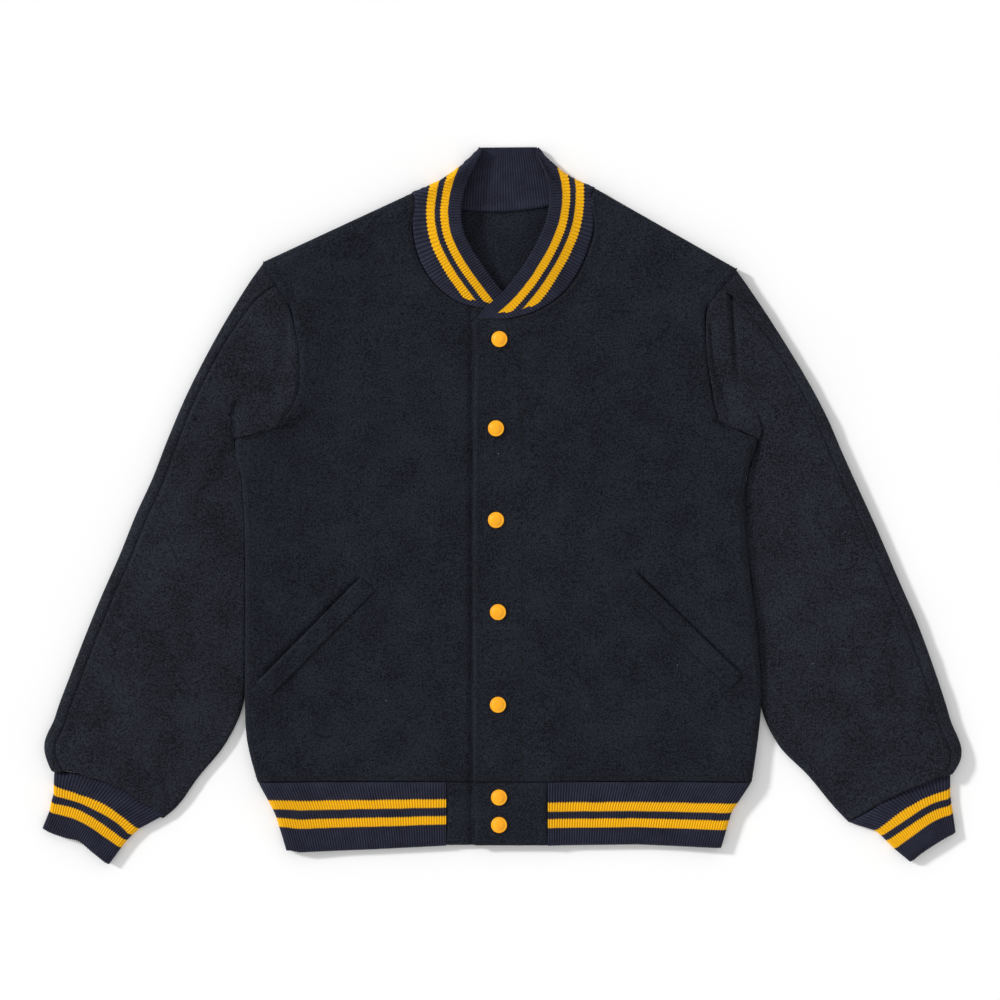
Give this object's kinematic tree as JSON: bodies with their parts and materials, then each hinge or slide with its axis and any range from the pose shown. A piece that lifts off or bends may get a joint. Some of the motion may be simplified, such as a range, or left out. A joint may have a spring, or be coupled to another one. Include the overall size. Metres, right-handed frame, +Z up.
{
  "type": "varsity jacket laid flat",
  "caption": "Wool varsity jacket lying flat, front up, snapped closed, with striped rib collar, cuffs and hem.",
  "frame": {"origin": "middle of the jacket's plan on the surface that it lies on", "axes": "+X towards the wearer's left sleeve, +Y towards the collar, +Z up from the surface"},
  "size_m": [0.9708, 0.7609, 0.0181],
  "materials": {
    "wool": "matt napped wool",
    "rib": "matt rib knit with two yellow stripes",
    "snap_enamel": "glossy enamel"
  },
  "bodies": {
    "root": {"back": "wool", "front_right": "wool", "front_left": "wool", "sleeve_right_top": "wool", "sleeve_right_under": "wool", "sleeve_left_top": "wool", "sleeve_left_under": "wool", "hem_tab_right": "wool", "hem_tab_left": "wool", "pocket_welt_right": "wool", "pocket_welt_left": "wool", "cuff_right": "rib", "cuff_left": "rib", "hem_rib": "rib", "collar_rib": "rib", "snap_1": "snap_enamel", "snap_2": "snap_enamel", "snap_3": "snap_enamel", "snap_4": "snap_enamel", "snap_5": "snap_enamel", "snap_6": "snap_enamel", "snap_7": "snap_enamel"}
  },
  "joints": []
}
